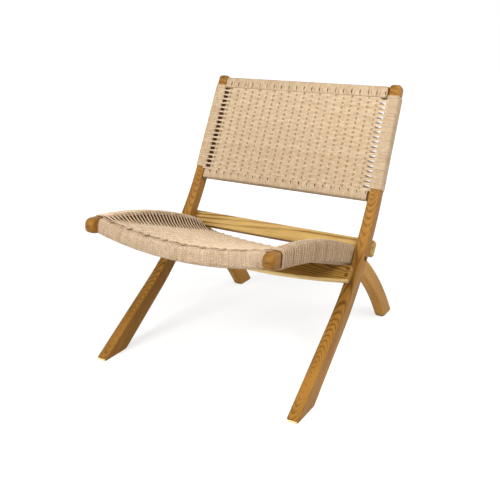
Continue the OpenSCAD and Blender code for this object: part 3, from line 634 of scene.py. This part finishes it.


# ---------------------------------------------------------------------------------------------------
# Under-seat board: a dished ash board across the stiles' front faces, let in a little and screwed with
# two screws at each end. Its ends are rounded, its edges softened, and its lower faces are drawn paler:
# painted light from the floor.
board_half_x, board_half_up, board_half_out, board_sag, let_in = 0.301, 0.0235, 0.011, 0.023, 0.0012
mid, lean, half = stile_line(-0.0645)
board_up, board_out = along_and_out(lean)
board_mid = np.array([0, mid[0], mid[1]]) + board_out * (half + board_half_out - let_in)
board_pith = (0, board_mid[1] - 0.03, board_mid[2] + 0.05)
board_ash = ash("oiled_ash_board", "#9c7638", "#62441a", (1, 0.03, -0.02), board_pith, 1.7)
board = cross_bar("under_seat_board_dished", board_mid, board_up, board_out, board_half_x, board_half_up,
                  board_half_out, board_sag, 0.008, 0.0055, board_ash)
board.data.materials.append(ash("ash_lower_face_painted_light", "#d0b47a", "#8f6f3e", (1, 0.03, -0.02), board_pith, 1.1))
board.data.materials.append(shade_painted_ash)
# Faces that point down are drawn in paler ash: painted light from the floor below
for face in board.data.polygons:
    if Vector(face.normal).dot(board_up) < -0.45:
        face.material_index = 1
front = board_mid + board_out * board_half_out
# The screw holes' insides are painted shade: they take the dark wood
drill(board, [(front + X * x + board_up * (z - dip(x, board_half_x, board_sag)), -board_out, 0.0051, 0.0032)
              for x in (-0.292, 0.292) for z in (-0.00775, 0.01175)], 2)
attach(board, "back_frame")
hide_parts("under_seat_board")


# ---------------------------------------------------------------------------------------------------
# Seat rails: ash boards with a bare rounded knob in front, drawn in darker ash, a long hump, and
# a rear leg that curves down behind the crossing, flares a little and is cut level at the floor.
def rail_line(q):
    # Middle of a seat rail at the length q in front of the pivot: its place in Y and Z, its lean and half
    # its depth
    def bow(b0, b1, r):
        return r * np.array([math.sin(b1) - math.sin(b0), math.cos(b1) - math.cos(b0)])

    slope, hump, hump_from = math.radians(30.3), math.radians(22.3), 0.0460767
    leg_r, bend_r, hump_r = 1.01, 0.33, 1.5
    leg_long, front_long, deep = 0.427183, 0.483077, 0.051
    if q < 0:
        b = slope - q / leg_r
        mid, half = bow(slope, b, leg_r), (deep - 0.004 * (-q / leg_long)) / 2
    else:
        b = slope - q / bend_r if q < hump_from else hump
        mid, half = bow(slope, b, bend_r), (deep - 0.012 * (q / front_long) ** 3) / 2
    if q > hump_from:
        b = hump - (q - hump_from) / hump_r
        mid = mid + bow(hump, b, hump_r)
    flare = 0.0078 * (min(q, 0) / leg_long) ** 2
    mid = mid - flare * np.array([math.sin(b), math.cos(b)])
    return PIVOT + mid, math.pi / 2 + b, half + flare


rail_x, rail_half, knob_groove, under_cord = 0.2646, 0.015, 0.4435, -0.018
for side, name in ((-1, "left"), (1, "right")):
    rail_ash = ash("oiled_ash_seat_rail_" + name, "#a0722a", "#624010", (0, -0.74, 0.67),
                   (side * 0.25, PIVOT[0] + 0.102, PIVOT[1] - 0.184), 0.7, 0.0052)
    # The knob is drawn in a darker ash than the rest of the rail
    knob_ash = ash("darker_ash_knob_" + name, "#7a5119", "#4c2f0a", (0, -0.95, 0.32),
                   (side * 0.27, PIVOT[0] - 0.44, PIVOT[1] + 0.13), 0.3, 0.0062, 15, 0.16)
    rail = curved_bar(name + "_seat_rail_board", rail_line, -0.392, 0.4845, side * rail_x, rail_half, 0.008,
                      (0.009, 0.003, 0.006, 0.003, False), (0.0175, 0.009), knob_groove, rail_ash)
    rail.data.materials.append(knob_ash)
    rail.data.materials.append(shade_painted_ash)
    # The wound part, with its bare inner face between the cord's ends, is drawn in the dark wood of painted
    # shade
    for face in rail.data.polygons:
        if face.center.y < rail_line(knob_groove - 0.0019)[0][0]:
            face.material_index = 1
        elif face.center.y < rail_line(under_cord)[0][0]:
            face.material_index = 2
    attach(rail, "seat_frame")
    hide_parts(name + "_seat_rail")


# ---------------------------------------------------------------------------------------------------
# Wound seat rails: close turns from behind the knob to the crossing. They were pulled tight by hand,
# so some stand apart and show a dark line between them.
seat_cord = paper_cord("twisted_paper_cord_seat", "#f9e7cd", "#ae8b63", 0.0058)
turns, cord_long = 121, 0.4579
for side, name in ((-1, "left"), (1, "right")):
    strands = []
    shake = random.Random(name + "seat")
    gaps, left = [], 0
    for k in range(turns):
        left = left - 1 if left else shake.choice((1, 2, 2, 3))
        gaps.append(1.0 if left else shake.uniform(1.25, 2.0))
    places = np.cumsum([0] + gaps) / sum(gaps) * cord_long + under_cord - 0.0002
    for q in places:
        mid, lean, half = rail_line(q)
        along, up = along_and_out(lean)
        lift = shake.uniform(-0.0005, 0.0004)
        drift = shake.uniform(-0.0005, 0.0005)
        centre = np.array([side * rail_x, mid[0], mid[1]])
        # The last turns, next to the knob, go all round
        line, out, closed = turn_round(centre, X * side, rail_half + CORD / 2 + lift, up, half + CORD / 2,
                                       0.0092, bare=q < 0.43)
        line = [p + along * drift * math.sin(1.3 * i) for i, p in enumerate(line)]
        strands.append((line, out, closed))
    # A turn beside a parting is in its shade. It is drawn darker, because the partings are too fine to show
    lay_cord(name + "_seat_rail_cord", strands, 0.0032, CORD, seat_cord, "seat_frame", name + "_seat_wrap",
             shades=[2.1 if gap > 1 else 0 for gap in gaps + [1]])


# ---------------------------------------------------------------------------------------------------
# Wound front and rear seat rails: dished ash bars between the side rails, under cord whose turns lie
# square to their curve. The front rail's turns draw in where the seat's warp pairs leave it.
seat_half_x, wound_wide, seat_turns, seat_warp_pitch = 0.2496, 0.4985, 133, 0.0286
seat_warp_x = [(k - 7.5) * seat_warp_pitch for k in range(16)]
front_sag, rear_q, rear_sag, rear_half_up, rear_half_out = 0.028, -0.062, 0.018, 0.0115, 0.010
rear_lift = rail_line(rear_q)[2] - 0.014 - rear_half_up
for name, q0, lift0, half_up, half_out, sag, radii in (
        ("front", 0.449577, -0.0002, 0.0183, 0.0125, front_sag, (0.0085, 0.009, 0.009, 0.004)),
        ("rear", rear_q, rear_lift, rear_half_up, rear_half_out, rear_sag, (0.008, 0.0025, 0.004, 0.008))):
    mid, lean, half = rail_line(q0)
    forward, up = along_and_out(lean)
    # The bar is drawn in the dark wood of painted shade, which shows where the turns draw in
    bar = cross_bar(name + "_seat_rail_bar", np.array([0, mid[0], mid[1]]) + up * lift0, up, forward, 0.2494,
                    half_up - 0.0004, half_out - 0.0004, sag, 0.0005, 0.0085, shade_painted_ash, 0.0004)
    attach(bar, "seat_frame")
    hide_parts(name + "_seat_rail")
    strands = []
    shake = random.Random(name + "rail")
    for k in range(seat_turns):
        x = (k - (seat_turns - 1) / 2) * wound_wide / (seat_turns - 1)
        # The rail's slope at x, over 1 mm to each side
        h = 0.001
        fall = -(dip(x + h, seat_half_x, sag) - dip(x - h, seat_half_x, sag)) / (2 * h)
        across = np.array([-fall, 0, 0]) + up
        across = across / np.linalg.norm(across)
        centre = np.array([x + shake.uniform(-0.0003, 0.0003), mid[0], mid[1]])
        centre = centre + up * (lift0 - dip(x, seat_half_x, sag))
        line, out, closed = turn_round(centre, forward, half_out + CORD / 2, across, half_up + CORD / 2,
                                       *radii)
        gap = (x - seat_warp_x[0] + seat_warp_pitch) % (2 * seat_warp_pitch) - seat_warp_pitch
        for i, away in ((2, 0.7), (3, 1.0), (4, 0.8)) if name == "front" else ():
            line[i] = line[i] - across * 0.0024 * away * math.exp(-(gap / 0.007) ** 4)
        strands.append((line, out, closed))
    lay_cord(name + "_rail_turns", strands, 0.0037, CORD, seat_cord, "seat_frame", name + "_rail_wrap")


# ---------------------------------------------------------------------------------------------------
# Woven seat: the same weave, hung in the dish between the front and the rear rail. Beside the side
# rails one pair climbs over their top and the next goes under them, so that dark slits stay between.
front_q, front_edge, front_top, weft, seat_pairs = 0.448077, 0.011, 0.0185, 0.0029, 64
q_low, q_high = rear_q + rear_half_out + weft - 0.0015, front_q - 0.0047
seat_pitch = (q_high - q_low) / seat_pairs


def normal_at(q):
    lean = rail_line(q)[1]
    return np.array([-math.cos(lean), math.sin(lean)])


def level_at(q, x):
    # Height of the seat's top over the middle of the side rails at q: straight from rail to rail
    qa, qb = rear_q + rear_half_out + weft + 0.0004, front_q - front_edge - weft - 0.0004
    a = rail_line(qa)[0] + (rear_lift + rear_half_up + weft - dip(x, seat_half_x, rear_sag)) * normal_at(qa)
    b = rail_line(qb)[0] + (front_top + weft - dip(x, seat_half_x, front_sag)) * normal_at(qb)
    m, n, d = rail_line(q)[0], normal_at(q), b - a
    e = m - a
    return -(e[0] * d[1] - e[1] * d[0]) / (n[0] * d[1] - n[1] * d[0])


def seat_place(q, x, above):
    # Place in the seat: q along the side rails, x across, and so far above their middle
    m, n = rail_line(q)[0], normal_at(q)
    p = m + n * above
    return np.array([x, p[0], p[1]])


def ride_up(q):
    # The last rows climb a little onto the turns of the front rail
    return 0.0023 * math.exp(-(q_high - q) / 0.005)


weave_x = 0.2185
strands = []
shake = random.Random(9)
for j in range(seat_pairs):
    for k in (-1, 1):
        centre = q_low + (j + 0.5) * seat_pitch
        q = centre + k * seat_pitch * 0.245
        over = j % 2 == 0
        half = rail_line(q)[2]
        n = normal_at(q)
        line = []
        for i in range(-34, 35):
            x = i * seat_warp_pitch / 4
            if abs(x) > weave_x:
                continue
            wave = math.cos(math.pi * (x - seat_warp_x[0]) / seat_warp_pitch) * (1 if over else -1)
            wave = math.copysign(abs(wave) ** 0.75, wave)
            sway = shake.uniform(-0.0002, 0.0002)
            line.append(seat_place(q + sway, x, level_at(q, x) + ride_up(q) - weft + 0.00145 * wave))
        # A pair goes on to the side rails, over or under them. Its strands are drawn closer and thinner
        # there, so that the slits show. The rearmost rows end beside the rails.
        start = level_at(q, weave_x) - weft
        wound = q > -0.02
        goal = (half + CORD / 2 if over else -half - CORD / 2) if wound else start - 0.004
        steps = [(weave_x + 0.032 * f, start + (goal - start) * f) for f in (0.3, 0.65, 1.0)]
        steps += [(0.2565, goal)] if wound else []
        near = [centre + (q - centre) * f for f in (0.8, 0.75, 0.95, 1.0)]
        thin = [0.84, 0.8, 0.86, 0.9][:len(steps)]
        girth = thin[::-1] + [1.0] * len(line) + thin
        left, right = [[seat_place(m, side * x, a) for (x, a), m in zip(steps, near)] for side in (-1, 1)]
        line = left[::-1] + line + right
        strands.append((line, [np.array([0, n[0], n[1]])] * len(line), False, girth))
lay_cord("seat_weft", strands, 0.0042, weft, seat_cord, "seat_frame", "seat_panel")
strands = []
for i, x in enumerate(seat_warp_x):
    for k in (-1, 1):
        line, out = [], []
        for m in range(-2, 2 * seat_pairs + 3):
            q = q_low + m * seat_pitch / 2
            inside = 0 <= m <= 2 * seat_pairs
            wave = math.sin(math.pi * m / 2) * (-1 if i % 2 == 0 else 1) if inside else 1
            n = normal_at(q)
            over = 0.0012 * wave + ride_up(q) if inside else 0.0014
            line.append(seat_place(q, x + k * 0.0018, level_at(q, x) - weft + over))
            out.append(np.array([0, n[0], n[1]]))
        strands.append((line, out, False))
lay_cord("seat_warp", strands, 0.0034, CORD, seat_cord, "seat_frame", "seat_panel")


# ---------------------------------------------------------------------------------------------------
# Stop rail: a straight bar of paler ash behind the stiles, housed in the seat rails. Its ends stand
# out past the stiles and show end grain. The lines of its grain are strong, and wander.
stop_half_x, stop_half_out, stop_gap = 0.322, 0.010, 0.0004
mid, lean, half = stile_line(0.041)
stop_up, stop_out = along_and_out(lean)
stop_mid = np.array([0, mid[0], mid[1]]) - stop_out * (half + stop_gap + stop_half_out)
stop_ash = ash("oiled_ash_stop_rail", "#a98b53", "#6a4b1f", (1, 0.02, 0.04),
               (0, stop_mid[1] + 0.035, stop_mid[2] - 0.062), 2.6, 0.0052, 20)
stop = cross_bar("stop_rail_bar", stop_mid, stop_up, stop_out, stop_half_x, 0.023, stop_half_out, 0, 0.007,
                 0.0035, stop_ash)
stop.data.materials.append(cut_end("cut_ash_rail_end", "#9c8050", "#6f5632"))
for face in stop.data.polygons:
    if abs(face.center.x) > stop_half_x - 0.006 and abs(face.normal.x) > 0.6:
        face.material_index = 1
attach(stop, "seat_frame")
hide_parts("stop_rail")


# ---------------------------------------------------------------------------------------------------
# Parts kept from the frame: the dowels under the cord, the screws, and the pivots' bolts, washers and
# inserts.
# The dowels under the cord are drawn in the dark wood of painted shade
for name in ("back_rail_dowels", "seat_rail_dowels"):
    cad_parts[name].data.materials.clear()
    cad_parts[name].data.materials.append(shade_painted_ash)


def plated_steel(name, code, rough):
    # Zinc-plated steel, plain or yellow-passivated: a dull metal shine that the plating's grit makes
    # uneven. The grit is too fine to show, so it is drawn 0.6 mm wide.
    made, t = bare_material(name)
    place = node(t, "ShaderNodeTexCoord").outputs["Object"]
    grit = node(t, "ShaderNodeTexNoise", {"Scale": 1600, "Detail": 2}, {"Vector": place})
    gloss = node(t, "ShaderNodeMapRange", {3: rough - 0.08, 4: rough + 0.12}, {0: grit.outputs[0]})
    relief = node(t, "ShaderNodeBump", {"Strength": 0.15, "Distance": 0.0001}, {"Height": grit.outputs[0]})
    skin = node(t, "ShaderNodeBsdfPrincipled", {"Base Color": linear(code), "Metallic": 1.0},
                {"Roughness": gloss.outputs[0], "Normal": relief.outputs[0]})
    node(t, "ShaderNodeOutputMaterial", {}, {0: skin.outputs[0]})
    return made


zinc = plated_steel("zinc_plated_steel", "#8f9193", 0.38)
yellow = plated_steel("yellow_passivated_steel", "#8d6c34", 0.42)
for name, metal in (("pivot_bolts", zinc), ("pivot_washers", zinc), ("pivot_inserts", yellow),
                    ("board_screws", yellow), ("stop_rail_screws", yellow)):
    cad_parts[name].data.materials.clear()
    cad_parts[name].data.materials.append(metal)
